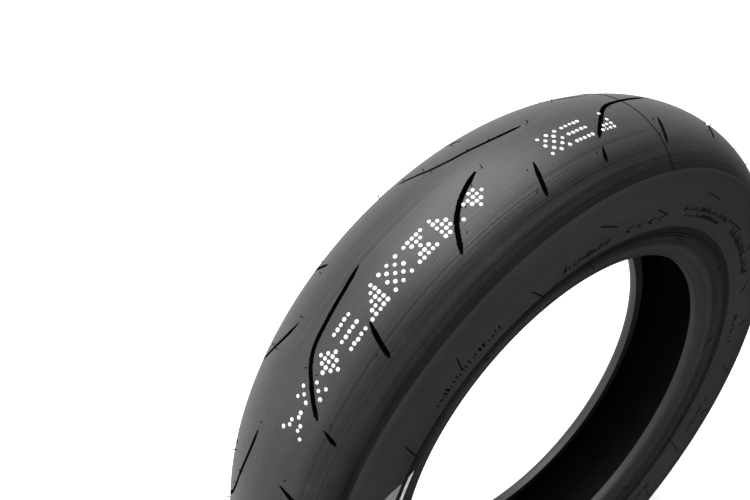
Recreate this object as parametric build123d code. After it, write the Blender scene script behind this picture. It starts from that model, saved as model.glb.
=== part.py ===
from build123d import *

import math
import os

# Small scooter and motorcycle radial tyre, 100/90 R12, as the separate pieces it is built from.
#
# The origin is the wheel's centre, +Y is the spin axis and +Z is up. A section is drawn with x as the radius
# and y as the distance along the spin axis, and is then turned round Y. A place along the casing line is
# a share: 0 at the crown's centre, 1 at the +Y toe and -1 at the -Y toe.

# Driving dimensions, in millimetres and degrees
OUTER_RADIUS = 242.5  # half of 304.8 for the 12 inch rim, plus a section height of 90
SEAT_RADIUS = 152.0  # bead seat of a 12 inch rim
SEAT_SPAN = (28.9, 33.2)  # where the seat starts and ends along the spin axis
TOE_Y = 28.5
HEEL_RADIUS = 6.0
CLEARANCE = 0.05  # left between neighbouring layers

CROWN_RADIUS = 68.0  # tread section at the centre
CROWN_ANGLE = 26.0  # half of the angle that the centre arc turns
SHOULDER_RADIUS = 53.3
RIDGE_ANGLE = 58.8  # lean of the tread's edge from the centre line

LINER = 1.0
PLY = 0.7
BELT = 0.9
CAP_PLY = 0.7
BASE_RUBBER = 0.8
CHAFER = 0.5
BELT_EDGE = 0.36  # shares of the casing line
TREAD_EDGE = 0.44
WING_EDGE = 0.475
INNER_TURN_UP = 0.68  # where the inner ply's turned-up end stops
OUTER_TURN_UP = 0.70
CHAFER_TOP = 0.79
LINER_END = 0.965
FILLER_TIP = 0.72

CORE_RADIUS = 159.6  # centre of the bead core's bundle
CORE_Y = 34.0
WIRE_RADIUS = 0.43
WIRE_SIDES = 8  # the wires are drawn with flats, which keeps their long rings light
WIRE_PITCH = 0.92
COVER = (2.28, 2.5)  # inner and outer radius of the cover round the bundle

GROOVE_DEPTH = 4.6
GROOVE_DRAFT = 0.35  # how far each side of a groove leans in towards its floor
GROOVE_TIP = 0.45  # share of its width that a groove keeps at its ends
CUTTER_RISE = 2.0  # how far a groove's cutter stands over the tread
PITCHES = 7  # the tread pattern repeats this many times round the tyre

HAIR_RADIUS = 0.45
HAIR_LENGTH = 5.0
HAIR_ROWS = (-46.0, -15.0, 0.0, 15.0, 46.0)  # distances from the centre line over the tread
HAIRS_IN_ROW = 16

# The casing's inside surface, from the crown's centre to the toe: radius, distance along the spin axis
CASING = [
    (229.5, 0),
    (228.2, 12),
    (224.6, 24),
    (218.0, 35),
    (210.5, 42.1),
    (203.0, 45.2),
    (195.0, 45.2),
    (187.0, 43.3),
    (181.0, 40.6),
    (175.0, 37.0),
    (168.0, 32.6),
    (163.0, 29.7),
    (158.0, 28.6),
]

# The sidewall's outside surface, from the tread's edge to the rim strip
SIDEWALL = [
    (213.8, 52.5),
    (209.0, 53.0),
    (203.0, 52.9),
    (196.0, 51.9),
    (189.0, 50.2),
    (183.0, 48.4),
    (178.0, 46.8),
]

# The rim strip's outside surface, from the sidewall to the heel, with two low ridges over the rim's flange
RIM_STRIP = [
    (177.5, 46.2),
    (172.9, 44.5),
    (172.2, 44.9),
    (171.6, 44.1),
    (170.5, 43.6),
    (169.9, 44.0),
    (169.2, 43.0),
    (165.0, 41.0),
]

# Tread grooves of one pitch on each half: width, then turn in degrees and distance from the centre line
GROOVES = [
    (2.8, [(16.6, 1.2), (13.5, -1.6), (9.3, -4.3), (6.0, -6.6), (3.9, -10.6), (2.3, -16.0), (-1.3, -29.2)]),
    (2.8, [(-1.6, -33.2), (-2.2, -38.5), (-2.8, -43.6)]),
    (3.1, [(-17.2, -7.4), (-20.3, -13.0), (-22.5, -18.4), (-24.5, -26.0), (-26.6, -37.6)]),
    (2.8, [(-11.4, -22.6), (-12.4, -32.5), (-13.4, -43.2)]),
    (2.7, [(12.3, -23.4), (11.2, -33.0), (10.1, -43.4)]),
    (2.4, [(-7.0, 2.9), (-10.1, 4.0), (-12.8, 6.0), (-15.6, 9.0), (-18.4, 12.3), (-21, 18.7), (-24, 32.2)]),
    (2.8, [(-24.7, 36.0), (-25.4, 40.0), (-26.0, 44.0)]),
    (3.1, [(-44.9, 12.6), (-48.3, 19.5), (-51.8, 30.0), (-53.6, 38.0)]),
    (2.8, [(-37.3, 22.8), (-38.6, 33.0), (-39.6, 43.2)]),
    (2.7, [(-13.4, 23.4), (-14.5, 33.0), (-15.6, 43.4)]),
]

# Stickers: turn of the first and last edge in degrees, then the surface that they lie on
BEAD_LABEL = (-84.0, -59.5, [(163.0, 40.5), (165.0, 41.0), (167.0, 41.95), (168.9, 42.85)])
SIDE_STICKER = (-66.0, -61.2, [(183.0, 48.4), (189.0, 50.2), (195.0, 51.7)])
STICKER = 0.15
STICKER_LIFT = 0.25  # from the surface to the middle of a sticker


# Drawing helpers


def mirrored(points):
    """The same points on the other side of the tyre."""
    return [(x, -y) for x, y in points]


def both_sides(half):
    """Points from the -Y end to the +Y end, from the half that starts at the centre."""
    return mirrored(half[:0:-1]) + half


casing_line = Spline(*both_sides(CASING))


def casing_point(share, depth):
    """A point at a share of the casing line, and at a depth outwards from the inside surface."""
    place = (share + 1) / 2
    point = casing_line @ place
    heading = casing_line % place
    return (point.X + heading.Y * depth, point.Y - heading.X * depth)


def spread(start, end, count):
    """Evenly spaced numbers, both ends included."""
    return [start + (end - start) * i / (count - 1) for i in range(count)]


def casing_run(start, end, depth, count=9):
    """Points along the casing line between two shares, at one depth."""
    return [casing_point(share, depth) for share in spread(start, end, count)]


def outline(*edges):
    """The face inside edges and smooth lines in order; straight lines close the gaps between them."""
    joined = []
    for edge in edges:
        if isinstance(edge, list):
            edge = Spline(*edge) if len(edge) > 2 else Line(*edge)
        if joined and (joined[-1] @ 1 - edge @ 0).length > 1e-6:
            joined.append(Line(joined[-1] @ 1, edge @ 0))
        joined.append(edge)
    joined.append(Line(joined[-1] @ 1, joined[0] @ 0))
    return make_face(Wire(joined))


def ribbon(points, thickness):
    """A face of even thickness along a smooth line."""
    line = Spline(*points)
    sides = {-1: [], 1: []}
    for place in spread(0, 1, 2 * len(points) + 1):
        point = line @ place
        heading = line % place
        for side, edge in sides.items():
            offset = side * thickness / 2
            edge.append((point.X + heading.Y * offset, point.Y - heading.X * offset))
    return outline(sides[-1], sides[1][::-1])


def turned(face, angle=360):
    """The solid that a section makes when it turns round the spin axis."""
    return revolve(face, Axis.Y, angle).solid()


def write(name, solids):
    """One STEP file per node; separate solids of one node go in as a group."""
    shape = Compound(children=solids) if isinstance(solids, list) else solids
    shape.label = name
    export_step(shape, os.path.join("parts", name + ".step"))


def write_pair(name, solids):
    """The +Y piece and its mirror image."""
    group = solids if isinstance(solids, list) else [solids]
    for side, copies in (("right", group), ("left", [solid.mirror(Plane.XZ) for solid in group])):
        write(name + "_" + side, copies if len(copies) > 1 else copies[0])


# Casing


def layer(edge_share, depth, thickness):
    """A layer of even thickness across the crown."""
    return turned(
        outline(
            casing_run(-edge_share, edge_share, depth, 25),
            casing_run(edge_share, -edge_share, depth + thickness, 25),
        )
    )


def core_point(distance, angle):
    """A point round the bead core: 0 faces the other bead, 90 the wheel's centre, 180 the rim's flange."""
    turn = math.radians(angle)
    return (CORE_RADIUS - distance * math.sin(turn), CORE_Y - distance * math.cos(turn))


INNER_PLY_DEPTH = LINER + CLEARANCE
OUTER_PLY_DEPTH = INNER_PLY_DEPTH + PLY + CLEARANCE
FREE_DEPTH = OUTER_PLY_DEPTH + PLY + CLEARANCE  # the first depth outside both plies
PLY_LEAVES_CASING = 0.945
COVER_EDGE = COVER[1] + CLEARANCE  # distance from the core's centre where the plies start
FILLER_AT_CORE = 4.2
CORE_SHARE = 0.975  # where the casing line passes the core


def filler_thickness(share):
    """The bead filler tapers from the core to its tip, between the plies going down and those turned up."""
    return FILLER_AT_CORE * max(share - FILLER_TIP, 0) / (CORE_SHARE - FILLER_TIP)


def behind_filler(start, end, extra, count=7):
    """Points on the outer side of the filler, moved out by extra."""
    return [casing_point(s, FREE_DEPTH + filler_thickness(s) + extra) for s in spread(start, end, count)]


def carcass_ply(depth, order, top):
    """A ply from bead to bead, turned up to the share top; order counts plies from the core."""
    middle = order * (PLY + CLEARANCE) + PLY / 2
    down = casing_run(0, PLY_LEAVES_CASING, depth + PLY / 2, 15)
    round_core = [core_point(COVER_EDGE + middle, angle) for angle in range(0, 181, 30)]
    up = behind_filler(0.9, top, middle + CLEARANCE)
    return turned(ribbon(both_sides(down + round_core + up), PLY))


def bead_core():
    """Steel wire rings packed in a hexagon, three to five side by side."""
    wires = []
    for row in range(-2, 3):
        side_by_side = 5 - abs(row)
        for column in range(side_by_side):
            radius = CORE_RADIUS + row * WIRE_PITCH * math.sqrt(3) / 2
            place = CORE_Y + (column - (side_by_side - 1) / 2) * WIRE_PITCH
            wires.append(turned((Pos(radius, place) * RegularPolygon(WIRE_RADIUS, WIRE_SIDES)).face()))
    return wires


def bead_cover():
    """The thin rubbered wrap that holds the wires together."""
    ring = Circle(COVER[1]) - Circle(COVER[0])
    return turned((Pos(CORE_RADIUS, CORE_Y) * ring).face())


def bead_filler():
    """The hard rubber wedge on top of the core."""
    foot = [core_point(COVER_EDGE, angle) for angle in (335, 305, 270, 235, 205)]
    tip = FILLER_TIP + 0.02
    return turned(
        outline(
            casing_run(tip, 0.92, FREE_DEPTH + CLEARANCE),
            foot,
            behind_filler(0.9, tip, -CLEARANCE),
        )
    )


TURNED_UP = 2 * (PLY + CLEARANCE)  # thickness of both turned-up plies
CHAFER_DISTANCE = COVER_EDGE + TURNED_UP + CHAFER / 2
CHAFER_START = 60  # turn round the core where the chafer's inner edge lies


def chafer():
    """The fabric strip that guards the plies against the rim."""
    round_core = [core_point(CHAFER_DISTANCE, angle) for angle in range(CHAFER_START, 181, 30)]
    up = behind_filler(0.9, CHAFER_TOP, TURNED_UP + CLEARANCE + CHAFER / 2)
    return turned(ribbon(round_core + up, CHAFER))


def rim_strip():
    """The hard rubber that seats on the rim: toe, seat, rounded heel, and flank up to the sidewall."""
    chafer_face = CHAFER_DISTANCE + CHAFER / 2 + CLEARANCE
    ply_face = COVER_EDGE + TURNED_UP
    liner_end = LINER_END + 0.001
    flank_start = (SEAT_RADIUS + HEEL_RADIUS, SEAT_SPAN[1] + HEEL_RADIUS)
    behind = behind_filler(CHAFER_TOP, 0.9, TURNED_UP + CHAFER + 2 * CLEARANCE)
    return turned(
        outline(
            casing_run(liner_end, 0.999, 0, 4),
            [(SEAT_RADIUS + 0.8, TOE_Y), (SEAT_RADIUS, SEAT_SPAN[0])],
            [(SEAT_RADIUS, SEAT_SPAN[0]), (SEAT_RADIUS, SEAT_SPAN[1])],
            RadiusArc((SEAT_RADIUS, SEAT_SPAN[1]), flank_start, HEEL_RADIUS),
            *[list(pair) for pair in zip([flank_start] + RIM_STRIP[::-1], RIM_STRIP[::-1])],
            behind + [core_point(chafer_face, angle) for angle in range(180, CHAFER_START - 1, -30)],
            [core_point(ply_face, angle) for angle in (CHAFER_START - 2, 30, 0)],
            casing_run(0.98, liner_end, LINER - 0.2, 3),
        )
    )


# Belts and crown

BELT_DEPTHS = (FREE_DEPTH, FREE_DEPTH + BELT + CLEARANCE)
CAP_PLY_DEPTH = BELT_DEPTHS[1] + BELT + CLEARANCE
BASE_DEPTH = CAP_PLY_DEPTH + CAP_PLY + CLEARANCE
CAP_DEPTH = BASE_DEPTH + BASE_RUBBER + CLEARANCE


def belt_edge_strip():
    """The rubber cushion beside the belts' edges."""
    start = BELT_EDGE + 0.002
    return turned(
        outline(
            casing_run(start, TREAD_EDGE, FREE_DEPTH),
            casing_run(TREAD_EDGE, start, BASE_DEPTH - CLEARANCE),
        )
    )


def crown_place(distance):
    """Radius, place along Y and lean in radians of the tread surface, at a distance from the centre line."""
    centre_turn = math.radians(CROWN_ANGLE)
    arc = abs(distance)
    radius, place = OUTER_RADIUS - CROWN_RADIUS, 0.0
    lean, reach = arc / CROWN_RADIUS, CROWN_RADIUS
    if arc > CROWN_RADIUS * centre_turn:
        lean, reach = centre_turn + (arc - CROWN_RADIUS * centre_turn) / SHOULDER_RADIUS, SHOULDER_RADIUS
        radius += (CROWN_RADIUS - SHOULDER_RADIUS) * math.cos(centre_turn)
        place += (CROWN_RADIUS - SHOULDER_RADIUS) * math.sin(centre_turn)
    sign = math.copysign(1, distance)
    return radius + reach * math.cos(lean), sign * (place + reach * math.sin(lean)), sign * lean


SHOULDER_START = CROWN_RADIUS * math.radians(CROWN_ANGLE)
RIDGE = SHOULDER_START + SHOULDER_RADIUS * math.radians(RIDGE_ANGLE - CROWN_ANGLE)
CAP_EDGE = RIDGE - 2.2  # where the tread rubber ends and the wing starts


def crown_arc(start, end):
    """The arc of the tread surface between two distances from the centre line."""
    return ThreePointArc(*[crown_place(distance)[:2] for distance in (start, (start + end) / 2, end)])


def on_tread(turn, distance, height=0.0):
    """A point over the tread at a turn from the top of the tyre, and the outward direction there."""
    radius, place, lean = crown_place(distance)
    angle = math.radians(turn)
    outward = Vector(math.cos(lean) * math.sin(angle), math.sin(lean), math.cos(lean) * math.cos(angle))
    return Vector(radius * math.sin(angle), place, radius * math.cos(angle)) + outward * height, outward


def groove_cutter(width, path):
    """A tapered blade that follows a path over the tread and reaches down to the groove's floor."""
    places = [on_tread(turn, distance) for turn, distance in path]
    sections = []
    for i, (point, outward) in enumerate(places):
        ahead = places[min(i + 1, len(places) - 1)][0] - places[max(i - 1, 0)][0]
        across = outward.cross(ahead).normalized()
        half = width / 2 * (GROOVE_TIP if i in (0, len(places) - 1) else 1)
        top, floor = half + GROOVE_DRAFT, half - GROOVE_DRAFT
        high, low = point + outward * CUTTER_RISE, point - outward * GROOVE_DEPTH
        corners = [high - across * top, high + across * top, low + across * floor, low - across * floor]
        sections.append(Wire.make_polygon(corners, close=True))
    return Solid.make_loft(sections)


def tread_cap():
    """The wearing rubber, with its grooves."""
    blank = turned(
        outline(
            casing_run(-TREAD_EDGE, TREAD_EDGE, CAP_DEPTH, 25),
            crown_arc(CAP_EDGE, SHOULDER_START),
            crown_arc(SHOULDER_START, -SHOULDER_START),
            crown_arc(-SHOULDER_START, -CAP_EDGE),
        )
    )
    cutters = []
    for pitch in range(PITCHES):
        start = pitch * 360 / PITCHES
        for width, path in GROOVES:
            cutters.append(groove_cutter(width, [(start + turn, distance) for turn, distance in path]))
    return (blank - cutters).solid()


def tread_wing():
    """The soft strip between the tread's edge and the sidewall, with the ridge."""
    start, end = TREAD_EDGE + 0.002, WING_EDGE
    edge = CAP_EDGE + CLEARANCE
    return turned(
        outline(
            casing_run(start, end, FREE_DEPTH, 3),
            [casing_point(end, FREE_DEPTH), SIDEWALL[0]],
            [SIDEWALL[0], crown_place(RIDGE)[:2]],
            crown_arc(RIDGE, edge),
            [crown_place(edge)[:2], casing_point(start, CAP_DEPTH)],
        )
    )


def sidewall():
    """The flexible flank rubber, from the wing to the rim strip, outside the plies and their turn-ups."""
    below_wing = (SIDEWALL[0][0] - CLEARANCE, SIDEWALL[0][1])
    above_turn_up = INNER_TURN_UP - 0.005
    return turned(
        outline(
            casing_run(WING_EDGE + 0.002, above_turn_up, FREE_DEPTH),
            behind_filler(above_turn_up, CHAFER_TOP - 0.008, TURNED_UP + 2 * CLEARANCE, 5),
            [*SIDEWALL[:0:-1], below_wing],
        )
    )


# Moulded hairs and stickers


def spew_hairs():
    """The rubber hairs that the mould's vents leave standing on the tread."""
    hairs = []
    for row, distance in enumerate(HAIR_ROWS):
        for i in range(HAIRS_IN_ROW):
            turn = (i + row % 2 / 2) * 360 / HAIRS_IN_ROW
            foot, outward = on_tread(turn, distance, CLEARANCE)
            hairs.append(Solid.make_cylinder(HAIR_RADIUS, HAIR_LENGTH, Plane(foot, z_dir=outward)))
    return hairs


def sticker(first_turn, last_turn, surface):
    """A thin patch that follows the -Y surface, between two turns from the top of the tyre."""
    lifted = [(radius, place + STICKER_LIFT) for radius, place in surface]
    patch = turned(ribbon(lifted, STICKER), last_turn - first_turn)
    return patch.rotate(Axis.Y, first_turn - 90).mirror(Plane.XZ)


os.makedirs("parts", exist_ok=True)

write("inner_liner", layer(LINER_END, 0, LINER))
write("carcass_ply_inner", carcass_ply(INNER_PLY_DEPTH, 1, INNER_TURN_UP))
write("carcass_ply_outer", carcass_ply(OUTER_PLY_DEPTH, 0, OUTER_TURN_UP))
write_pair("bead_core", bead_core())
write_pair("bead_cover", bead_cover())
write_pair("bead_filler", bead_filler())
write_pair("chafer", chafer())
write_pair("rim_strip", rim_strip())
write_pair("sidewall", sidewall())
write("belt_inner", layer(BELT_EDGE, BELT_DEPTHS[0], BELT))
write("belt_outer", layer(BELT_EDGE, BELT_DEPTHS[1], BELT))
write("cap_ply", layer(BELT_EDGE, CAP_PLY_DEPTH, CAP_PLY))
write_pair("belt_edge_strip", belt_edge_strip())
write("tread_base", layer(TREAD_EDGE, BASE_DEPTH, BASE_RUBBER))
write("tread_cap", tread_cap())
write_pair("tread_wing", tread_wing())
write("spew_hairs", spew_hairs())
write("bead_label", sticker(*BEAD_LABEL))
write("side_sticker", sticker(*SIDE_STICKER))
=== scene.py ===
import math

import bpy
import numpy as np
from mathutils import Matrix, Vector


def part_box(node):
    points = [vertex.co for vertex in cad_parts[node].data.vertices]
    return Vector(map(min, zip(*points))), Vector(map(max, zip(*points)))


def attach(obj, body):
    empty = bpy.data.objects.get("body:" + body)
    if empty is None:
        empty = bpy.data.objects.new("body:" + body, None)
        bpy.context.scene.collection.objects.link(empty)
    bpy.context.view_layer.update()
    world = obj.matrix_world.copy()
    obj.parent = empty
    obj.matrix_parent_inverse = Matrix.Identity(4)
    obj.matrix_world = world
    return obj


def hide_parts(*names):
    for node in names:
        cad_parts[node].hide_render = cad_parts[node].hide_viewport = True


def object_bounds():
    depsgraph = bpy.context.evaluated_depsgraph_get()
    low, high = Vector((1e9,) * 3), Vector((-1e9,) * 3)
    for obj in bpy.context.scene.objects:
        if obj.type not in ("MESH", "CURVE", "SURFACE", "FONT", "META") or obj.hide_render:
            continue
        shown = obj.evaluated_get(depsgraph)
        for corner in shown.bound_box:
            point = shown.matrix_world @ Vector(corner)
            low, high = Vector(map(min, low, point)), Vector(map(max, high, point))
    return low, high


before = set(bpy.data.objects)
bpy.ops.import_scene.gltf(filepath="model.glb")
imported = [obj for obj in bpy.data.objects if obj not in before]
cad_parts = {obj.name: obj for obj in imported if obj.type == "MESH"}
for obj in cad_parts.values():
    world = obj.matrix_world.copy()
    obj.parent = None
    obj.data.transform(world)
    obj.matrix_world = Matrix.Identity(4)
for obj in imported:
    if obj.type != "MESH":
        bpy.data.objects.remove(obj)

# Looks of a small scooter or motorcycle tyre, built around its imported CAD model.
#
# Sizes are in millimetres and are turned into metres when a mesh is made. A place on the tyre is a turn in
# degrees from its top towards +X, and a distance in millimetres along the section: over the tread from the
# centre line, negative on the -Y side, or a radius on the flanks.

CAD_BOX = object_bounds()
HALF_WIDTH = 53.0  # no visible piece reaches past this

MM = 0.001
rng = np.random.default_rng(12)

# Camera and light
CAMERA_PLACE = (-0.2624, -0.2341, 0.3747)
CAMERA_TURN = 39.09  # degrees from +Y towards +X
CAMERA_DIP = 40.38  # degrees below the horizon
CAMERA_LENS = 30.54
CAMERA_SHIFT = (-0.1217, 0.1128)

# Tread section
OUTER_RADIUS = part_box("tread_cap")[1].z / MM
CROWN_RADIUS = 68.0
CROWN_ANGLE = math.radians(26.0)
SHOULDER_RADIUS = 53.3
RIDGE_ANGLE = math.radians(58.8)
SHOULDER_START = CROWN_RADIUS * CROWN_ANGLE
RIDGE = SHOULDER_START + SHOULDER_RADIUS * (RIDGE_ANGLE - CROWN_ANGLE)
CAP_EDGE = RIDGE - 2.2
TREAD_THICKNESS = 6.4

# Tread pattern of one pitch on both halves: width, then turn and distance of points along the groove
PITCHES = 7
COLUMNS = 320  # mesh columns in one pitch
TREAD_ROWS = 190
GROOVE_DEPTH = 4.6
GROOVE_WALL = 0.8  # how far a groove's wall leans in from its edge to its floor
GROOVES = [
    (
        2.7,
        [(16.65, 1.2), (13.5, -1.6), (9.3, -4.3), (6.0, -6.6)]
        + [(3.9, -10.6), (2.3, -16.0), (0.6, -22.0), (-1.3, -29.6)],
    ),
    (2.8, [(-1.6, -33.2), (-2.2, -38.5), (-2.8, -44.0)]),
    (3.0, [(-17.2, -7.4), (-20.3, -13.0), (-22.5, -18.4), (-24.5, -26.0), (-26.6, -38.2)]),
    (2.8, [(-11.4, -22.6), (-12.4, -32.5), (-13.4, -43.8)]),
    (2.7, [(12.3, -23.4), (11.2, -33.0), (10.1, -44.0)]),
    (
        2.2,
        [(-7.0, 2.9), (-10.1, 4.0), (-12.8, 6.0), (-15.6, 9.0)]
        + [(-18.4, 12.3), (-21.0, 18.7), (-24.0, 32.2)],
    ),
    (2.8, [(-24.7, 36.0), (-25.4, 40.0), (-26.0, 44.0)]),
    (2.6, [(-44.9, 12.6), (-48.3, 19.5), (-51.8, 30.0), (-53.6, 38.0)]),
    (2.8, [(-37.3, 22.8), (-38.6, 33.0), (-39.6, 43.2)]),
    (2.7, [(-13.4, 23.4), (-14.5, 33.0), (-15.6, 43.4)]),
]

# Flank section: radius and distance from the middle plane
SIDEWALL = [
    (213.8, 52.5),
    (209.0, 53.0),
    (203.0, 52.9),
    (196.0, 51.9),
    (189.0, 50.2),
    (183.0, 48.4),
    (178.0, 46.8),
]


def catmull(points, per_span):
    """A smooth line through points, with per_span places between each two."""
    points = np.asarray(points, float)
    ends = np.vstack([2 * points[0] - points[1], points, 2 * points[-1] - points[-2]])
    line = []
    for i in range(len(points) - 1):
        a, b, c, d = ends[i : i + 4]
        for t in np.arange(per_span) / per_span:
            bend = 2 * b + (c - a) * t + (2 * a - 5 * b + 4 * c - d) * t**2
            line.append(0.5 * (bend + (3 * b - a - 3 * c + d) * t**3))
    line.append(points[-1])
    return np.array(line)


def crown(distance):
    """Radius, place along Y, and lean of the tread surface at distances from the centre line."""
    distance = np.asarray(distance, float)
    arc = np.abs(distance)
    outer = arc > SHOULDER_START
    lean = np.where(outer, CROWN_ANGLE + (arc - SHOULDER_START) / SHOULDER_RADIUS, arc / CROWN_RADIUS)
    reach = np.where(outer, SHOULDER_RADIUS, CROWN_RADIUS)
    step = np.where(outer, CROWN_RADIUS - SHOULDER_RADIUS, 0.0)
    radius = OUTER_RADIUS - CROWN_RADIUS + step * math.cos(CROWN_ANGLE) + reach * np.cos(lean)
    place = step * math.sin(CROWN_ANGLE) + reach * np.sin(lean)
    sign = np.where(distance < 0, -1.0, 1.0)
    return radius, sign * place, sign * lean


# Mesh helpers


def new_object(name, points, *groups, smooth_angle=None):
    """A closed mesh object from points in millimetres and groups of faces with equally many corners."""
    points = np.array(points, np.float32)
    points[:, 1] = points[:, 1].clip(-HALF_WIDTH, HALF_WIDTH)
    groups = [np.asarray(group, np.int32) for group in groups]
    volume = 0.0
    for group in groups:
        for k in range(1, group.shape[1] - 1):
            a, b, c = points[group[:, 0]], points[group[:, k]], points[group[:, k + 1]]
            volume += float(np.einsum("ij,ij->", a, np.cross(b, c)))
    if volume < 0:
        groups = [group[:, ::-1] for group in groups]
    sizes = np.concatenate([np.full(len(group), group.shape[1], np.int32) for group in groups])
    corners = np.concatenate([group.ravel() for group in groups])
    mesh = bpy.data.meshes.new(name)
    mesh.vertices.add(len(points))
    mesh.vertices.foreach_set("co", (points * MM).ravel())
    mesh.loops.add(len(corners))
    mesh.loops.foreach_set("vertex_index", corners)
    mesh.polygons.add(len(sizes))
    mesh.polygons.foreach_set("loop_start", np.concatenate([[0], np.cumsum(sizes)[:-1]]).astype(np.int32))
    mesh.polygons.foreach_set("use_smooth", np.ones(len(sizes), bool))
    mesh.update(calc_edges=True)
    if smooth_angle:
        mesh.set_sharp_from_angle(angle=math.radians(smooth_angle))
    obj = bpy.data.objects.new(name, mesh)
    bpy.context.scene.collection.objects.link(obj)
    return obj


def around(radius, place, turns):
    """Points of a section at each turn; radius and place may differ from turn to turn."""
    angle = np.radians(turns)[:, None]
    radius, place = np.broadcast_arrays(np.atleast_2d(radius), np.atleast_2d(place))
    radius = np.broadcast_to(radius, (len(turns), radius.shape[1]))
    place = np.broadcast_to(place, radius.shape)
    return np.stack([radius * np.sin(angle), place, radius * np.cos(angle)], axis=-1)


def closed_grid(name, grid, smooth_angle=None):
    """A mesh from a grid of points that joins up with itself both ways."""
    rows, columns = grid.shape[:2]
    i, k = np.meshgrid(np.arange(rows), np.arange(columns), indexing="ij")
    after, beside = (i + 1) % rows, (k + 1) % columns
    near, far = i * columns, after * columns
    faces = np.stack([near + k, near + beside, far + beside, far + k], axis=-1)
    return new_object(name, grid.reshape(-1, 3), faces.reshape(-1, 4), smooth_angle=smooth_angle)


def ring(name, radius, place, turns, smooth_angle=None):
    """A closed ring from a closed section that runs round its outline once, given at each turn."""
    return closed_grid(name, around(radius, place, turns), smooth_angle)


def full_turn(count):
    return np.arange(count) * 360.0 / count


def place_piece(piece, slot, material, *nodes):
    """Puts a finished piece on the tyre's one body."""
    piece.data.materials.clear()
    piece.data.materials.append(material)
    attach(piece, "root")
    if nodes:
        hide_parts(*nodes)


class Bars:
    """Collects low raised lines that follow a surface; each is a closed bar with a rounded top."""

    # Side, and height or -1 for the foot
    SECTION = ((-0.5, -1.0), (-0.36, 0.8), (0.0, 1.0), (0.36, 0.8), (0.5, -1.0))

    def __init__(self):
        self.points = []
        self.sides = []
        self.ends = []

    def add(self, path, width, height, surface, sink=0.25):
        """path is places on the surface; surface gives their points and outward directions."""
        points, outward = surface(np.asarray(path, float))
        across = np.cross(outward, np.gradient(points, axis=0))
        across /= np.linalg.norm(across, axis=1)[:, None]
        corners = len(self.SECTION)
        start = len(self.points)
        for i in range(len(points)):
            for side, lift in self.SECTION:
                rise = -sink if lift < 0 else height * lift
                self.points.append(points[i] + across[i] * side * width + outward[i] * rise)
        for i in range(len(points) - 1):
            for k in range(corners):
                a, b = start + i * corners + k, start + i * corners + (k + 1) % corners
                self.sides.append((a, a + corners, b + corners, b))
        self.ends.append(tuple(range(start, start + corners)))
        self.ends.append(tuple(range(len(self.points) - 1, len(self.points) - 1 - corners, -1)))

    def build(self, name):
        return new_object(name, self.points, self.sides, self.ends, smooth_angle=50)


# Materials


def new_material(name, color, roughness, specular=0.5):
    material = bpy.data.materials.new(name)
    material.use_nodes = True
    shader = material.node_tree.nodes["Principled BSDF"]
    shader.inputs["Base Color"].default_value = (*color, 1)
    shader.inputs["Roughness"].default_value = roughness
    shader.inputs["Specular IOR Level"].default_value = specular
    return material, material.node_tree.nodes, material.node_tree.links, shader


def math_node(nodes, links, operation, first, second=None):
    node = nodes.new("ShaderNodeMath")
    node.operation = operation
    for socket, value in zip(node.inputs, (first, second)):
        if value is None:
            continue
        if isinstance(value, (int, float)):
            socket.default_value = value
        else:
            links.new(value, socket)
    return node.outputs[0]


def distance_from_axis(nodes, links, x, z):
    x_square = math_node(nodes, links, "MULTIPLY", x, x)
    z_square = math_node(nodes, links, "MULTIPLY", z, z)
    return math_node(nodes, links, "SQRT", math_node(nodes, links, "ADD", x_square, z_square))


def round_tyre_coordinates(nodes, links, along, across):
    """Seamless coordinates, slow round the tyre (along) and fast over its section (across)."""
    split = nodes.new("ShaderNodeSeparateXYZ")
    links.new(object_coordinates(nodes), split.inputs[0])
    x, y, z = split.outputs
    radius = distance_from_axis(nodes, links, x, z)
    section = math_node(nodes, links, "SUBTRACT", math_node(nodes, links, "ABSOLUTE", y), radius)
    side = math_node(nodes, links, "MULTIPLY", math_node(nodes, links, "SIGN", y), 0.4)
    sided = math_node(nodes, links, "ADD", section, side)
    joined = nodes.new("ShaderNodeCombineXYZ")
    links.new(math_node(nodes, links, "MULTIPLY", x, along), joined.inputs[0])
    links.new(math_node(nodes, links, "MULTIPLY", sided, across), joined.inputs[1])
    links.new(math_node(nodes, links, "MULTIPLY", z, along), joined.inputs[2])
    return joined.outputs[0]


def noise(nodes, links, vector, scale, detail=4.0, roughness=0.55):
    node = nodes.new("ShaderNodeTexNoise")
    node.inputs["Scale"].default_value = scale
    node.inputs["Detail"].default_value = detail
    node.inputs["Roughness"].default_value = roughness
    links.new(vector, node.inputs["Vector"])
    return node.outputs["Fac"]


def ramp(nodes, links, value, *stops):
    """A colour ramp; stops are (place, grey or colour)."""
    node = nodes.new("ShaderNodeValToRGB")
    elements = node.color_ramp.elements
    while len(elements) < len(stops):
        elements.new(0.5)
    for element, (place, color) in zip(elements, stops):
        element.position = place
        element.color = (color, color, color, 1) if isinstance(color, (int, float)) else (*color, 1)
    links.new(value, node.inputs[0])
    return node.outputs["Color"]


def bump(nodes, links, shader, *layers):
    """Stacks bumps on a shader; a layer is (height, depth in metres)."""
    normal = None
    for height, depth in layers:
        node = nodes.new("ShaderNodeBump")
        node.inputs["Strength"].default_value = 1.0
        node.inputs["Distance"].default_value = depth
        links.new(height, node.inputs["Height"])
        if normal is not None:
            links.new(normal, node.inputs["Normal"])
        normal = node.outputs["Normal"]
    links.new(normal, shader.inputs["Normal"])


def mix(nodes, links, share, first, second, blend="MIX"):
    node = nodes.new("ShaderNodeMix")
    node.data_type = "RGBA"
    node.blend_type = blend
    for name, kind, value in (("Factor", "VALUE", share), ("A", "RGBA", first), ("B", "RGBA", second)):
        socket = next(s for s in node.inputs if s.name == name and s.type == kind)
        if hasattr(value, "is_linked") or hasattr(value, "links"):
            links.new(value, socket)
        else:
            socket.default_value = value
    return next(s for s in node.outputs if s.type == "RGBA")


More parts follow.
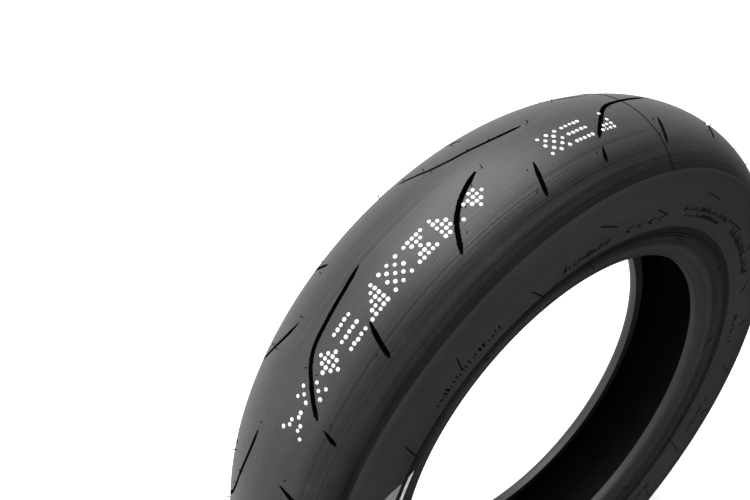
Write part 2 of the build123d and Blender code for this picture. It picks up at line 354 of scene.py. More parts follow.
def object_coordinates(nodes):
    return nodes.new("ShaderNodeTexCoord").outputs["Object"]


def rubber(name, dark, light, roughness, streak_depth, grain_depth, streaks=(3.0, 900.0), dust=0.0):
    """Black rubber: streaks that run round the tyre, soft blotches, fine grain, and a little pale dust."""
    material, nodes, links, shader = new_material(name, dark, roughness[0])
    where = object_coordinates(nodes)
    fine = noise(nodes, links, round_tyre_coordinates(nodes, links, *streaks), 1.0, 3.0, 0.6)
    broad = noise(nodes, links, round_tyre_coordinates(nodes, links, streaks[0], streaks[1] / 6), 1.0, 2.0)
    blotch = noise(nodes, links, where, 9.0, 4.0)
    grain = noise(nodes, links, where, 1400.0, 2.0)
    both = math_node(nodes, links, "MULTIPLY", math_node(nodes, links, "ADD", fine, broad), 0.5)
    color = ramp(nodes, links, both, (0.36, dark), (0.62, light))
    cloudy = ramp(nodes, links, blotch, (0.35, 0.82), (0.65, 1.0))
    color = mix(nodes, links, 1.0, color, cloudy, "MULTIPLY")
    if dust:
        settled = ramp(nodes, links, noise(nodes, links, where, 30.0, 6.0, 0.7), (0.52, 0.0), (0.75, dust))
        color = mix(nodes, links, settled, color, (0.16, 0.125, 0.095, 1))
    links.new(color, shader.inputs["Base Color"])
    dull = ramp(nodes, links, both, (0.35, roughness[0]), (0.65, roughness[1]))
    links.new(dull, shader.inputs["Roughness"])
    bump(nodes, links, shader, (both, streak_depth * MM), (grain, grain_depth * MM))
    return material


WIDE_STREAKS = (6.0, 160.0)
TREAD_COLORS = ((0.009, 0.0087, 0.009), (0.033, 0.0323, 0.033))
SIDE_COLORS = ((0.036, 0.036, 0.0365), (0.045, 0.0445, 0.045))
BEAD_COLORS = ((0.034, 0.034, 0.0345), (0.046, 0.046, 0.0465))
# Painted shade: the moulded marks, vent lines, mould lines and hairs are the same rubber as the flank and
# tread, coloured near black for the shadows they cast
MARK_SHADE_COLORS = ((0.002, 0.002, 0.002), (0.003, 0.003, 0.003))
# Painted shade: the walls and floors of the grooves get near-black rubber for the shade inside them
GROOVE_SHADE_COLORS = ((0.002, 0.002, 0.002), (0.004, 0.004, 0.004))
tread_rubber = rubber("tread_rubber", *TREAD_COLORS, (0.34, 0.46), 0.22, 0.03, dust=0.12)
side_rubber = rubber("side_rubber", *SIDE_COLORS, (0.45, 0.55), 0.03, 0.05, WIDE_STREAKS)
bead_rubber = rubber("bead_rubber", *BEAD_COLORS, (0.36, 0.46), 0.05, 0.02, (4.0, 500.0))
shaded_mark_rubber = rubber("shaded_mark_rubber", *MARK_SHADE_COLORS, (0.60, 0.70), 0.0, 0.02, WIDE_STREAKS)
shaded_groove_rubber = rubber("shaded_groove_rubber", *GROOVE_SHADE_COLORS, (0.65, 0.75), 0.0, 0.03, WIDE_STREAKS)
for dull, shine in ((side_rubber, 0.3), (bead_rubber, 0.4), (shaded_mark_rubber, 0.1), (shaded_groove_rubber, 0.05)):
    dull.node_tree.nodes["Principled BSDF"].inputs["Specular IOR Level"].default_value = shine


def shade_by_radius(material, *stops):
    """Painted shade: multiplies a rubber's colour by a ramp over the radius in millimetres."""
    nodes, links = material.node_tree.nodes, material.node_tree.links
    shader = nodes["Principled BSDF"]
    split = nodes.new("ShaderNodeSeparateXYZ")
    links.new(object_coordinates(nodes), split.inputs[0])
    x, z = split.outputs[0], split.outputs[2]
    radius = distance_from_axis(nodes, links, x, z)
    low, high = stops[0][0] * MM, stops[-1][0] * MM
    share = math_node(nodes, links, "DIVIDE", math_node(nodes, links, "SUBTRACT", radius, low), high - low)
    shade = ramp(nodes, links, share, *[((place * MM - low) / (high - low), grey) for place, grey in stops])
    color = shader.inputs["Base Color"].links[0].from_socket
    links.new(mix(nodes, links, 1.0, color, shade, "MULTIPLY"), shader.inputs["Base Color"])


# Painted shade: the tread's colour darkens towards its shoulders, where less light falls
shade_by_radius(tread_rubber, (210, 0.45), (222, 0.6), (233, 1.0), (243, 1.0))
# Painted shade: darker bands on the bead over the flange face, the rim lines and up to the flank step, and a
# little darker at the seat
BEAD_SHADE_RINGS = ((162.5, 1.0), (164.5, 0.6), (171, 0.65), (173, 0.4), (177, 0.4), (178.5, 0.8))
shade_by_radius(bead_rubber, (152, 0.8), (160, 1.0), *BEAD_SHADE_RINGS)


def shaded_liner_material():
    """Dull inner rubber with the fine net that the moulding bladder leaves, coloured near black as painted
    shade.
    """
    material, nodes, links, shader = new_material("liner_rubber", (0.004, 0.004, 0.004), 0.62, 0.15)
    where = object_coordinates(nodes)
    cells = nodes.new("ShaderNodeTexVoronoi")
    cells.feature = "DISTANCE_TO_EDGE"
    cells.inputs["Scale"].default_value = 260.0
    links.new(where, cells.inputs["Vector"])
    net = ramp(nodes, links, cells.outputs["Distance"], (0.0, 0.0), (0.12, 1.0))
    # Painted shade: near-black colour for the shaded inside of the tyre, far darker than its rubber
    color = ramp(nodes, links, noise(nodes, links, where, 14.0), (0.35, 0.003), (0.7, 0.006))
    links.new(color, shader.inputs["Base Color"])
    bump(nodes, links, shader, (net, 0.15 * MM), (noise(nodes, links, where, 900.0), 0.05 * MM))
    return material


def paint_material():
    """White marking paint, a little uneven where it wet the rubber."""
    material, nodes, links, shader = new_material("marking_paint", (0.85, 0.85, 0.84), 0.5)
    patches = noise(nodes, links, object_coordinates(nodes), 700.0, 3.0)
    links.new(ramp(nodes, links, patches, (0.3, 0.62), (0.55, 0.88)), shader.inputs["Base Color"])
    bump(nodes, links, shader, (patches, 0.03 * MM))
    return material


def paper_material(name, color, spots):
    """Label paper with soft stains and a fibre grain."""
    material, nodes, links, shader = new_material(name, color, 0.6)
    where = object_coordinates(nodes)
    stains = noise(nodes, links, where, 160.0, 5.0)
    worn = tuple(c * (1 - spots) for c in color)
    links.new(ramp(nodes, links, stains, (0.35, worn), (0.6, color)), shader.inputs["Base Color"])
    bump(nodes, links, shader, (noise(nodes, links, where, 1500.0), 0.02 * MM))
    return material


def cord_material(name, color):
    """Rubbered cord: parallel threads across the section."""
    material, nodes, links, shader = new_material(name, color, 0.7)
    where = object_coordinates(nodes)
    threads = nodes.new("ShaderNodeTexWave")
    threads.wave_type = "BANDS"
    threads.inputs["Scale"].default_value = 300.0
    links.new(where, threads.inputs["Vector"])
    shade = tuple(c * 0.6 for c in color)
    tint = ramp(nodes, links, threads.outputs["Fac"], (0.2, shade), (0.7, color))
    links.new(tint, shader.inputs["Base Color"])
    bump(nodes, links, shader, (threads.outputs["Fac"], 0.1 * MM))
    return material


def wire_material():
    """Bronzed steel wire with fine drawing lines."""
    material, nodes, links, shader = new_material("bead_wire", (0.5, 0.42, 0.3), 0.35)
    shader.inputs["Metallic"].default_value = 1.0
    lines = noise(nodes, links, round_tyre_coordinates(nodes, links, 5.0, 9000.0), 1.0)
    tint = ramp(nodes, links, lines, (0.4, (0.36, 0.29, 0.2)), (0.6, (0.56, 0.47, 0.34)))
    links.new(tint, shader.inputs["Base Color"])
    return material


# Tread


def groove_lines():
    """Closely spaced points along the grooves of one pitch: arc, distance, half width and turn."""
    lines = []
    for width, path in GROOVES:
        line = catmull(path, 10)
        arc = np.radians(line[:, 0]) * crown(line[:, 1])[0]
        run = np.concatenate([[0], np.cumsum(np.hypot(np.diff(arc), np.diff(line[:, 1])))])
        left = run[-1] - run
        tip = np.clip(run / 8.0, 0, 1) ** 0.6 * np.clip(left / 4.5, 0, 1) ** 0.7
        lines.append(np.column_stack([arc, line[:, 1], tip * width / 2, line[:, 0]]))
    return lines


GROOVE_LINES = groove_lines()


def inside_groove(turn, distance):
    """How far inside the nearest groove's edge places on the tread are, negative outside it."""
    radius = crown(distance)[0]
    period = 360.0 / PITCHES
    inside = np.full(np.broadcast(turn, distance).shape, -10.0)
    for line in GROOVE_LINES:
        middle = line[:, 3].mean()
        near = (turn - middle + period / 2) % period + middle - period / 2
        arc = np.radians(near) * radius
        for (x, y, half, _), (x2, y2, half2, _) in zip(line[:-1], line[1:]):
            dx, dy = x2 - x, y2 - y
            share = np.clip(((arc - x) * dx + (distance - y) * dy) / (dx * dx + dy * dy), 0, 1)
            away = np.hypot(arc - x - share * dx, distance - y - share * dy)
            inside = np.maximum(inside, half + share * (half2 - half) - away)
    return inside


def in_groove(turn, distance):
    return inside_groove(np.asarray(turn, float), np.asarray(distance, float)) > 0


def make_tread():
    """The grooved crown: one closed ring, whose outside is pushed in at the grooves."""
    distance = np.linspace(-CAP_EDGE, CAP_EDGE, TREAD_ROWS)
    turns = full_turn(PITCHES * COLUMNS)
    column = math.radians(turns[1])
    inside = np.tile(inside_groove(turns[:COLUMNS, None], distance[None, :]), (PITCHES, 1))
    # Mesh points near a groove's edge move onto it, so that the edge is a clean line
    step = distance[1] - distance[0]
    reach = column * crown(distance)[0][None, :]
    along = (np.roll(inside, -1, axis=0) - np.roll(inside, 1, axis=0)) / (2 * reach)
    across = np.gradient(inside, step, axis=1)
    steep = np.maximum(np.hypot(along, across), 0.3)
    edge = (np.abs(inside) < 0.42) & (np.abs(distance) < CAP_EDGE - 1)
    move = np.where(edge, -inside / steep**2, 0.0).clip(-0.45, 0.45)
    angle = turns[:, None] + np.degrees(move * along / crown(distance)[0])
    place_over = distance[None, :] + move * across
    depth = np.where(edge, 0.0, GROOVE_DEPTH * np.clip(inside / GROOVE_WALL, 0, 1))
    radius, place, lean = crown(place_over)
    outer_radius, outer_place = radius - depth * np.cos(lean), place - depth * np.sin(lean)
    under = np.linspace(CAP_EDGE - 2, -CAP_EDGE + 2, 24)
    radius, place, lean = crown(under)
    inner_radius = np.tile(radius - TREAD_THICKNESS * np.cos(lean), (len(turns), 1))
    inner_place = np.tile(place - TREAD_THICKNESS * np.sin(lean), (len(turns), 1))
    all_radius, all_place = np.hstack([outer_radius, inner_radius]), np.hstack([outer_place, inner_place])
    all_angle = np.radians(np.hstack([angle, np.repeat(turns[:, None], 24, axis=1)]))
    grid = np.stack([all_radius * np.sin(all_angle), all_place, all_radius * np.cos(all_angle)], axis=-1)
    tread = closed_grid("tread", grid, 40)
    place_piece(tread, "tread_rubber", tread_rubber, "tread_cap")
    # Faces deep in the grooves take the near-black rubber as painted shade
    tread.data.materials.append(shaded_groove_rubber)
    shaded_groove_faces = np.hstack([(inside > 0) & ~edge, np.zeros((len(turns), 24), bool)])
    count = shaded_groove_faces + np.roll(shaded_groove_faces, -1, 0) + np.roll(shaded_groove_faces, -1, 1) + np.roll(np.roll(shaded_groove_faces, -1, 0), -1, 1)
    tread.data.polygons.foreach_set("material_index", (count > 0).astype(np.int32).ravel())
    return tread


make_tread()


# Flanks


def both_flanks(name, radius, place, count, slot, material, nodes, smooth_angle=35):
    """The same ring on both sides of the tyre; place is given for the +Y side."""
    for side, sign in (("left", -1), ("right", 1)):
        order = slice(None, None, 1 if sign > 0 else -1)
        outline = np.array(radius)[order], sign * np.array(place)[order]
        piece = ring(f"{name}_{side}", *outline, full_turn(count), smooth_angle)
        place_piece(piece, slot, material, f"{nodes}_{side}")


def section(*parts):
    """Joins stretches of a section into one outline."""
    points = np.vstack([np.atleast_2d(part) for part in parts])
    return points[:, 0], points[:, 1]


def shoulder_section():
    arc = np.linspace(CAP_EDGE, RIDGE, 5)
    radius, place, _ = crown(arc)
    edge = np.column_stack([radius, place])
    under = crown(CAP_EDGE)
    foot = (float(under[0]) - 5.5, float(under[1]) - 4.0)
    return section(edge, [(214.7, 52.35)], SIDEWALL[0], (211.0, 47.5), foot)


FLANK_COLUMNS = 896
both_flanks("shoulder", *shoulder_section(), FLANK_COLUMNS, "side_rubber", side_rubber, "tread_wing")

SIDEWALL_BACK = [(176.6, 44.6), (187.0, 47.8), (200.0, 49.6), (210.0, 47.6)]
flank_section = section(catmull(SIDEWALL, 8), SIDEWALL_BACK)
both_flanks("flank", *flank_section, FLANK_COLUMNS, "side_rubber", side_rubber, "sidewall")

HEEL = (158.0, 33.2, 6.0)  # centre and radius of the rounded heel
RIM_LINES = [
    (177.6, 46.2),
    (175.2, 45.25),
    (172.9, 44.5),
    (172.5, 44.95),
    (172.1, 44.95),
    (171.6, 44.1),
    (170.6, 43.65),
    (170.2, 44.05),
    (169.8, 44.0),
    (169.3, 43.1),
]
FLANGE_FACE = [(169.0, 42.9), (167.0, 41.9), (165.0, 41.05), (162.0, 40.2), (160.0, 39.6)]
TOE = [(152.0, 28.9), (152.2, 28.6), (152.8, 28.5), (156.0, 28.55), (158.6, 28.75), (161.0, 29.05)]
BEAD_BACK = [(161.4, 30.4), (160.0, 36.0), (165.0, 38.4), (172.0, 41.6), (176.8, 44.0)]


def bead_section():
    turn = np.radians(np.linspace(90, 180, 12))
    heel = np.column_stack([HEEL[0] + HEEL[2] * np.cos(turn), HEEL[1] + HEEL[2] * np.sin(turn)])
    return section(RIM_LINES, catmull(FLANGE_FACE, 3), heel, TOE, BEAD_BACK)


both_flanks("bead", *bead_section(), 720, "bead_rubber", bead_rubber, "rim_strip", 28)

LINER_HALF = [
    (229.5, 0),
    (228.2, 12),
    (224.6, 24),
    (218.0, 35),
    (210.5, 42.1),
    (203.0, 45.2),
    (195.0, 45.2),
    (187.0, 43.3),
    (181.0, 40.6),
    (175.0, 37.0),
    (168.0, 32.6),
    (163.0, 29.75),
    (161.5, 29.2),
]
LINER_THICKNESS = 0.9
BLADDER_LINES = 180  # fine raised lines that the bladder's vents leave, from bead to bead


def make_liner():
    half = np.array(LINER_HALF, float)
    line = catmull(np.vstack([(half * (1, -1))[:0:-1], half]), 5)
    ahead = np.gradient(line, axis=0)
    outward = np.column_stack([ahead[:, 1], -ahead[:, 0]]) / np.linalg.norm(ahead, axis=1)[:, None]
    back = (line + outward * LINER_THICKNESS)[::-1]
    turns = full_turn(BLADDER_LINES * 4)
    lift = np.where(np.arange(len(turns)) % 4 == 0, 0.3, 0.0)[:, None]
    inner = line[None] - outward[None] * lift[..., None]
    outer = np.broadcast_to(back, (len(turns), *back.shape))
    points = np.concatenate([outer, inner], axis=1)
    return ring("liner", points[:, ::-1, 0], points[:, ::-1, 1], turns, 60)


place_piece(make_liner(), "liner_rubber", shaded_liner_material(), "inner_liner")


# Surfaces that marks lie on: each gives points and outward directions for places (turn, distance or radius)


def unit(turn, radial, axial):
    angle = np.radians(turn)
    return np.column_stack([radial * np.sin(angle), axial, radial * np.cos(angle)])


def on_tread(places):
    radius, place, lean = crown(places[:, 1])
    return unit(places[:, 0], radius, place), unit(places[:, 0], np.cos(lean), np.sin(lean))


STEP_LINE = [RIM_LINES[0], RIM_LINES[2], (171.0, 43.9)]
FLANK_LINE = np.vstack([catmull(SIDEWALL, 8), *STEP_LINE, catmull(FLANGE_FACE, 3)])


def on_flank(side):
    """The outside of one flank, addressed by turn and radius."""
    radius = FLANK_LINE[::-1, 0]
    place = FLANK_LINE[::-1, 1]
    slope = np.gradient(place, radius)

    def surface(places):
        axial = np.interp(places[:, 1], radius, place)
        tilt = np.interp(places[:, 1], radius, slope)
        length = np.hypot(1, tilt)
        points = unit(places[:, 0], places[:, 1], side * axial)
        return points, unit(places[:, 0], -tilt / length, side / length)

    return surface


near_flank, far_flank = on_flank(-1), on_flank(1)


# Moulded marks


def line_between(first, last, count):
    share = np.linspace(0, 1, count)[:, None]
    return np.array(first, float) * (1 - share) + np.array(last, float) * share


def add_clear_of_grooves(bars, path, width, height):
    """Adds only those stretches of a line over the tread that no groove cuts."""
    clear = ~in_groove(path[:, 0], path[:, 1])
    start = None
    for i in range(len(path) + 1):
        if i < len(path) and clear[i]:
            start = i if start is None else start
        elif start is not None:
            if i - start > 2:
                bars.add(path[start:i], width, height, on_tread)
            start = None


SEGMENTS = 8  # the tread's mould comes apart into this many segments
SEGMENT_TURN = 9.4


def make_mould_lines(name, segments, width, height, material):
    """Fine lines over the tread where the mould's segments meet."""
    bars = Bars()
    for segment in segments:
        turn = SEGMENT_TURN + segment * 360 / SEGMENTS
        distance = np.linspace(-CAP_EDGE + 0.4, CAP_EDGE - 0.4, 240)
        add_clear_of_grooves(bars, np.column_stack([np.full(240, turn), distance]), width, height)
    place_piece(bars.build(name), "tread_rubber", material)


make_mould_lines("mould_lines", (0, 4), 0.5, 0.25, shaded_mark_rubber)
make_mould_lines("mould_seams", (1, 2, 3, 5, 6, 7), 0.3, 0.12, tread_rubber)

# Vent lines on the flank: first and last place of each, in turn and radius
VENTS = [
    ((-51.7, 196.9), (-55.0, 176.7)),
    ((-36.4, 204.5), (-37.5, 191.1)),
    ((-21.4, 192.8), (-18.1, 172.8)),
    ((-6.9, 203.0), (-2.4, 195.0)),
    ((8.3, 194.4), (12.9, 188.2)),
    ((22.0, 202.8), (27.7, 200.5)),
    ((37.5, 192.8), (45.0, 194.5)),
    ((52.5, 202.0), (55.0, 194.0)),
    ((67.6, 194.0), (70.7, 188.0)),
    ((82.7, 202.5), (83.9, 194.0)),
    ((98.0, 193.0), (100.5, 202.5)),
    ((113.0, 202.5), (114.8, 195.0)),
]
TICKS = [
    ((22.9, 170.9), (29.7, 166.0)),
    ((53.0, 170.2), (58.0, 173.2)),
    ((-6.35, 171.0), (-2.5, 161.5)),
    ((84.0, 171.0), (88.0, 164.5)),
    ((-36.0, 171.0), (-33.0, 163.0)),
]


def make_vents(name, surface):
    bars = Bars()
    for half in (0, 180):
        for lines, count, width in ((VENTS, 9, 0.85), (TICKS, 7, 0.6)):
            for first, last in lines:
                line = line_between((first[0] + half, first[1]), (last[0] + half, last[1]), count)
                bars.add(line, width, 0.35, surface)
    return bars.build(name)


place_piece(make_vents("vent_lines_left", near_flank), "side_rubber", shaded_mark_rubber)
place_piece(make_vents("vent_lines_right", far_flank), "side_rubber", shaded_mark_rubber)

# Bands of plain blocks on the flank: turn of the first and last, radius, height
BANDS = [
    (-44.5, -28.7, 190.0, 4.6),
    (-14.0, -2.6, 186.0, 4.6),
    (17.5, 36.4, 191.4, 2.6),
    (19.0, 35.0, 187.0, 2.6),
    (42.0, 63.0, 190.0, 4.8),
    (79.0, 89.0, 187.0, 3.6),
    (112.0, 121.0, 190.0, 3.6),
    (139.0, 147.0, 187.0, 3.6),
    (160.0, 186.0, 190.0, 4.6),
    (205.0, 232.0, 189.0, 4.6),
    (250.0, 268.0, 188.0, 3.6),
]
CHEVRONS = ((1.0, 4.1, 7.2, 10.3), 186.5, 4.6)
RING_MARK = (109.6, 191.5, 2.2)
MARK_HEIGHT = 0.28


def make_marks(name, surface):
    """Plain moulded marks: bands of upright blocks, a row of chevrons and a small ring."""
    bars = Bars()
    for first, last, radius, height in BANDS:
        degree = math.radians(1) * radius
        place = first * degree
        while place < last * degree:
            width = rng.choice([0.7, 1.1, 1.8])
            low = radius - height / 2
            high = low + height * rng.choice([0.45, 1.0, 1.0])
            turn = (place + width / 2) / degree
            bars.add([(turn, low), (turn, (low + high) / 2), (turn, high)], width, MARK_HEIGHT, surface)
            place += width + rng.choice([0.9, 1.1, 2.2])
    turns, radius, height = CHEVRONS
    for turn in turns:
        wing = [(turn + 1.7, radius + height / 2), (turn, radius), (turn + 1.7, radius - height / 2)]
        bars.add(wing, 0.9, MARK_HEIGHT, surface)
    turn, radius, size = RING_MARK
    angle = np.radians(np.linspace(0, 350, 24))
    turns = turn + np.cos(angle) * size / (math.radians(1) * radius)
    bars.add(np.column_stack([turns, radius + np.sin(angle) * size]), 0.6, MARK_HEIGHT, surface)
    return bars.build(name)


place_piece(make_marks("marks_left", near_flank), "side_rubber", shaded_mark_rubber)
place_piece(make_marks("marks_right", far_flank), "side_rubber", shaded_mark_rubber)


# Painted dot code: each figure is five columns round the tyre by five rows over the tread
DOT_PITCH = 3.0
DOT_RADIUS = 1.15
DOT_FIRST_ROW = -13.0
FIGURES = {
    "diamond": ("..#..", ".###.", "#####", ".###.", "..#.."),
    "checker": ("#.#.#", ".#.#.", "#.#.#", ".#.#.", "#.#.#"),
    "hourglass": ("#####", ".###.", "..#..", ".###.", "#####"),
    "ramp": ("....#", "...##", "..###", ".####", "#####"),
    "slope": ("#....", "##...", "###..", "####.", "#####"),
    "rows": ("#####", ".....", "#####", ".....", "#####"),
    "chevron": ("#....", ".##..", "...##", ".##..", "#...."),
}
CODE = [
    (-54.4, "chevron"),
    (-50.15, "checker"),
    (-45.9, "diamond"),
    (-41.65, "rows"),
    (-37.4, "ramp"),
    (-33.15, "checker"),
    (-28.9, "hourglass"),
    (-24.65, "slope"),
    (-20.4, "diamond"),
    (-7.0, "checker"),
    (-2.9, "rows"),
    (1.2, "ramp"),
]


def make_dot_code():
    """Small discs of paint that lie on the tread, left out where a groove opens under them."""
    points, rim, caps = [], [], []
    sides = 14
    angle = np.arange(sides) * 2 * math.pi / sides
    layers = ((1.0, -0.12), (1.0, 0.03), (0.82, 0.07))
    for middle, figure in CODE:
        for row, line in enumerate(FIGURES[figure]):
            for column, mark in enumerate(line):
                distance = DOT_FIRST_ROW - row * DOT_PITCH + rng.normal(0, 0.12)
                degree = math.radians(1) * float(crown(distance)[0])
                turn = middle + ((column - 2) * DOT_PITCH + rng.normal(0, 0.12)) / degree
                size = DOT_RADIUS * rng.uniform(0.86, 1.05)
                if mark == "." or in_groove(turn, distance):
                    continue
                (centre,), (outward,) = on_tread(np.array([[turn, distance]]))
                ahead = np.array([math.cos(math.radians(turn)), 0.0, -math.sin(math.radians(turn))])
                across = np.cross(outward, ahead)
                start = len(points)
                for share, lift in layers:
                    for a in angle:
                        flat = ahead * math.cos(a) + across * math.sin(a)
                        points.append(centre + flat * size * share + outward * lift)
                for layer in range(len(layers) - 1):
                    for k in range(sides):
                        low, after = start + layer * sides + k, start + layer * sides + (k + 1) % sides
                        rim.append((low, after, after + sides, low + sides))
                caps.append(tuple(range(start + sides - 1, start - 1, -1)))
                caps.append(tuple(range(start + 2 * sides, start + 3 * sides)))
    return new_object("dot_code", points, rim, caps, smooth_angle=60)


place_piece(make_dot_code(), "label_white", paint_material())


# Spew hairs


def add_hair(parts, foot, heading, side, length, radius, curl):
    """One hair: a thin tapered stalk that leaves the surface along heading and curls towards side."""
    points, walls, caps = parts
    sides, steps = 6, 6
    start = len(points)
    for i in range(steps):
        share = i / (steps - 1)
        turn = curl * share
        along = math.sin(turn) / curl if curl > 1e-3 else share
        aside = (1 - math.cos(turn)) / curl if curl > 1e-3 else 0.0
        centre = foot + heading * length * along + side * length * aside
        forward = heading * math.cos(turn) + side * math.sin(turn)
        first = np.cross(forward, side)
        if np.linalg.norm(first) < 1e-6:
            first = np.cross(forward, heading)
        first /= np.linalg.norm(first)
        second = np.cross(forward, first)
        size = radius * (1 - 0.55 * share)
        for k in range(sides):
            angle = k * 2 * math.pi / sides
            points.append(centre + (first * math.cos(angle) + second * math.sin(angle)) * size)
    for i in range(steps - 1):
        for k in range(sides):
            low, after = start + i * sides + k, start + i * sides + (k + 1) % sides
            walls.append((low, after, after + sides, low + sides))
    caps.append(tuple(range(start + sides - 1, start - 1, -1)))
    caps.append(tuple(range(len(points) - sides, len(points))))


NUB_SPACING = 12.5  # along a groove
NUB_GAP = 4.0  # from a groove's edge


def make_hairs():
    """Short nubs beside the grooves, some of them left as long curled hairs."""
    parts = ([], [], [])
    spots = []
    for pitch in range(PITCHES):
        for width, path in GROOVES:
            line = catmull(path, 6)
            arc = np.radians(line[:, 0]) * crown(line[:, 1])[0]
            run = np.concatenate([[0], np.cumsum(np.hypot(np.diff(arc), np.diff(line[:, 1])))])
            for place in np.arange(3.0, run[-1], NUB_SPACING):
                turn, distance = np.interp(place, run, line[:, 0]), np.interp(place, run, line[:, 1])
                beside = rng.choice([-1, 1]) * (width / 2 + NUB_GAP) / (math.radians(1) * OUTER_RADIUS)
                spots.append((turn + beside + pitch * 360.0 / PITCHES, distance))
    for turn, distance in spots:
        if abs(distance) > 55 or in_groove(turn, distance):
            continue
        (foot,), (outward,) = on_tread(np.array([[turn, distance]]))
        long = rng.random() < 0.14
        length = rng.uniform(2.6, 4.4) if long else rng.uniform(0.7, 1.5)
        aside = np.cross(outward, rng.normal(size=3))
        aside /= np.linalg.norm(aside)
        radius, curl = (0.34, rng.uniform(0.5, 1.9)) if long else (0.42, 0.15)
        add_hair(parts, foot - outward * 0.3, outward, aside, length, radius, curl)
    return new_object("hairs", *parts, smooth_angle=60)


place_piece(make_hairs(), "tread_rubber", shaded_mark_rubber, "spew_hairs")


# Stickers


def sheet_on(name, surface, turns, low, high, lift=0.16, thickness=0.14, rows=14):
    """A thin closed sheet over a surface, between two radii that are given at each turn."""
    share = np.linspace(0, 1, rows)
    radii = np.array(low)[:, None] * (1 - share) + np.array(high)[:, None] * share
    places = np.column_stack([np.repeat(turns, rows), radii.ravel()])
    points, outward = surface(places)
    top, foot = points + outward * (lift + thickness / 2), points + outward * (lift - thickness / 2)
    count = len(turns)
    index = np.arange(count * rows).reshape(count, rows)
    quads = np.stack([index[:-1, :-1], index[:-1, 1:], index[1:, 1:], index[1:, :-1]], axis=-1).reshape(-1, 4)
    edge = np.concatenate([index[0, :-1], index[:-1, -1], index[-1, :0:-1], index[:0:-1, 0]])
    beside = np.roll(edge, -1)
    wall = np.stack([edge + count * rows, beside + count * rows, beside, edge], axis=-1)
    under = quads[:, ::-1] + count * rows
    return new_object(name, np.vstack([top, foot]), quads, under, wall, smooth_angle=40)


LABEL_MIDDLE = 169.9
LABEL_HALF = 2.9
LABEL_START = -84.0
LABEL_END = -59.3
LABEL_TIP = 1.5  # degrees over which the end is rounded
LABEL_LINE = np.array([(166.5, 41.7), (168.8, 43.1), (169.9, 44.1), (172.4, 45.05), (173.5, 44.9)])


def over_rim_lines(places):
    """The -Y surface that a label stretched over the two rim lines lies on."""
    points = unit(places[:, 0], places[:, 1], -np.interp(places[:, 1], LABEL_LINE[:, 0], LABEL_LINE[:, 1]))
    return points, near_flank(places)[1]


def make_bead_label():
    """The strip on the bead, with a rounded end."""
    tip_start = LABEL_END - LABEL_TIP
    tip = tip_start + LABEL_TIP * np.sin(np.linspace(0.05, math.pi / 2, 14))
    turns = np.concatenate([np.linspace(LABEL_START, tip_start, 60), tip])
    left = np.clip((LABEL_END - turns) * math.radians(1) * LABEL_MIDDLE, 0.02, LABEL_HALF)
    half = np.sqrt(np.maximum(LABEL_HALF**2 - (LABEL_HALF - left) ** 2, 0.01))
    return sheet_on("bead_label", over_rim_lines, turns, LABEL_MIDDLE - half, LABEL_MIDDLE + half)


def make_side_sticker():
    """The blank paper patch on the flank, with a corner cut off."""
    turns = np.linspace(-67.0, -60.9, 40)
    high = np.interp(turns, (-67.0, -62.3, -61.5, -60.9), (193.0, 191.5, 187.0, 181.5))
    return sheet_on("side_sticker", near_flank, turns, np.full(40, 178.6), high)


label_paper = paper_material("label_paper", (0.78, 0.78, 0.76), 0.2)
grey_paper = paper_material("grey_paper", (0.30, 0.29, 0.275), 0.25)
place_piece(make_bead_label(), "label_white", label_paper, "bead_label")
place_piece(make_side_sticker(), "label_grey", grey_paper, "side_sticker")

# The pieces inside the tyre keep their CAD shapes
INNER_COLORS = ((0.010, 0.010, 0.010), (0.016, 0.016, 0.016))
INSIDE = {
    "cord_fabric": cord_material("cord_fabric", (0.10, 0.095, 0.08)),
    "belt_cord": cord_material("belt_cord", (0.16, 0.12, 0.07)),
    "inner_rubber": rubber("inner_rubber", *INNER_COLORS, (0.6, 0.7), 0.03, 0.03),
    "bead_wire": wire_material(),
}
INSIDE_NODES = {
    "cord_fabric": ["carcass_ply_inner", "carcass_ply_outer", "cap_ply", "chafer_left", "chafer_right"],
    "belt_cord": ["belt_inner", "belt_outer"],
    "inner_rubber": ["tread_base", "belt_edge_strip_left", "belt_edge_strip_right", "bead_cover_left"]
    + ["bead_cover_right", "bead_filler_left", "bead_filler_right"],
    "bead_wire": ["bead_core_left", "bead_core_right"],
}
for kind, names in INSIDE_NODES.items():
    for node_name in names:
        node_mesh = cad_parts[node_name].data
        node_mesh.materials.clear()
        node_mesh.materials.append(INSIDE[kind])


# Studio

FLOOR_GLOW = 0.45
BRIGHT_SIDE = tuple(Vector((-0.25, 0.90, 0.35)).normalized())
WORLD_STOPS = ((0.30, 0.02), (0.60, 0.75), (0.90, 1.0))
WORLD_STRENGTH = 1.1


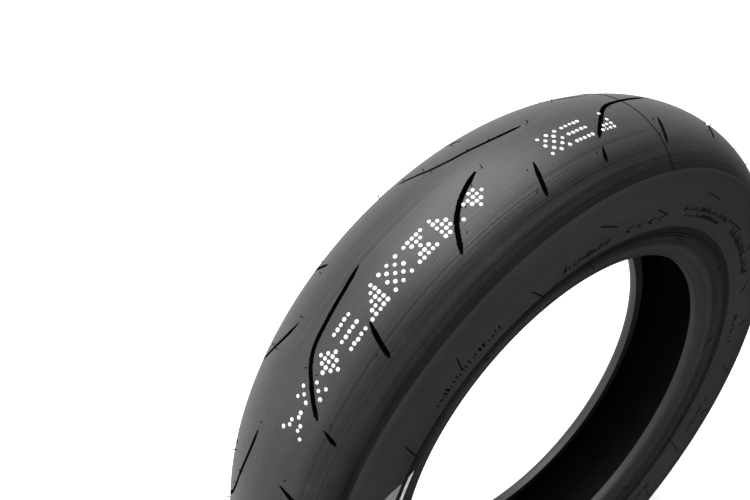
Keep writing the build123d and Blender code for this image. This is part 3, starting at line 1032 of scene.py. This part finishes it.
def make_floor():
    material, nodes, links, shader = new_material("floor", (0.9, 0.9, 0.9), 0.9, 0.0)
    shader.inputs["Emission Color"].default_value = (1, 1, 1, 1)
    shader.inputs["Emission Strength"].default_value = FLOOR_GLOW
    paper = noise(nodes, links, object_coordinates(nodes), 3.0)
    links.new(ramp(nodes, links, paper, (0.3, 0.88), (0.7, 0.90)), shader.inputs["Base Color"])
    mesh = bpy.data.meshes.new("floor")
    low = CAD_BOX[0][2] - 0.0005
    reach = 12.0
    corners = [(-reach, -reach, low), (reach, -reach, low), (reach, reach, low), (-reach, reach, low)]
    mesh.from_pydata(corners, [], [(0, 1, 2, 3)])
    mesh.materials.append(material)
    floor = bpy.data.objects.new("floor", mesh)
    bpy.context.scene.collection.objects.link(floor)
    floor.visible_glossy = False


make_floor()


def make_world():
    """A studio that is bright above and behind the tyre and dark on the camera's side."""
    world = bpy.data.worlds.new("studio")
    world.use_nodes = True
    nodes, links = world.node_tree.nodes, world.node_tree.links
    towards = nodes.new("ShaderNodeVectorMath")
    towards.operation = "DOT_PRODUCT"
    links.new(nodes.new("ShaderNodeTexCoord").outputs["Generated"], towards.inputs[0])
    towards.inputs[1].default_value = BRIGHT_SIDE
    raised = math_node(nodes, links, "ADD", towards.outputs["Value"], 1.0)
    half = math_node(nodes, links, "MULTIPLY", raised, 0.5)
    links.new(ramp(nodes, links, half, *WORLD_STOPS), nodes["Background"].inputs["Color"])
    nodes["Background"].inputs["Strength"].default_value = WORLD_STRENGTH
    bpy.context.scene.world = world


make_world()


def softbox(name, place, target, size, power):
    light = bpy.data.lights.new(name, "AREA")
    light.shape = "RECTANGLE"
    light.size, light.size_y = size
    light.energy = power
    obj = bpy.data.objects.new(name, light)
    obj.location = place
    obj.rotation_euler = (Vector(target) - Vector(place)).to_track_quat("-Z", "Y").to_euler()
    bpy.context.scene.collection.objects.link(obj)


softbox("overhead", (-0.2, 0.5, 2.2), (0, 0, 0), (2.2, 2.2), 60)
softbox("left_fill", (-2.0, 0.6, 1.0), (0, 0, 0), (1.2, 1.6), 9)


def make_camera():
    turn, dip = math.radians(CAMERA_TURN), math.radians(CAMERA_DIP)
    ahead = Vector((math.sin(turn) * math.cos(dip), math.cos(turn) * math.cos(dip), -math.sin(dip)))
    data = bpy.data.cameras.new("camera")
    data.lens = CAMERA_LENS
    data.sensor_width = 36.0
    data.shift_x, data.shift_y = CAMERA_SHIFT
    data.clip_start = 0.01
    camera = bpy.data.objects.new("camera", data)
    camera.location = CAMERA_PLACE
    camera.rotation_euler = ahead.to_track_quat("-Z", "Y").to_euler()
    bpy.context.scene.collection.objects.link(camera)
    bpy.context.scene.camera = camera


make_camera()
bpy.context.scene.view_settings.view_transform = "Standard"
bpy.context.scene.view_settings.look = "None"
